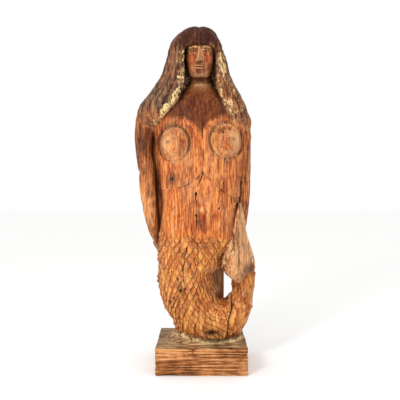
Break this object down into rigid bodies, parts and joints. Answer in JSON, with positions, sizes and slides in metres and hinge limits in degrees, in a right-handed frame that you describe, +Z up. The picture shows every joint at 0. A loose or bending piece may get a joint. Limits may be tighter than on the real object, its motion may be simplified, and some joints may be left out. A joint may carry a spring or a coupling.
{
  "type": "ship figurehead",
  "caption": "Carved wooden ship figurehead: a long-haired mermaid with arms held back and a scaled tail curling up into a fin, on a timber block with a square support post behind.",
  "frame": {"origin": "centre of the block's underside", "axes": "+Z up, the figure faces -Y, +X towards the figure's left side, which is the viewer's right"},
  "size_m": [0.5662, 0.3804, 1.5454],
  "materials": {
    "base_timber": "weathered timber with raised grain and worn brown stain",
    "carved_wood": "weathered, oiled and partly painted carved softwood",
    "post_timber": "rough dark brown timber"
  },
  "bodies": {
    "root": {"base_block": "base_timber", "figure": "carved_wood", "back_post": "post_timber"}
  },
  "joints": []
}
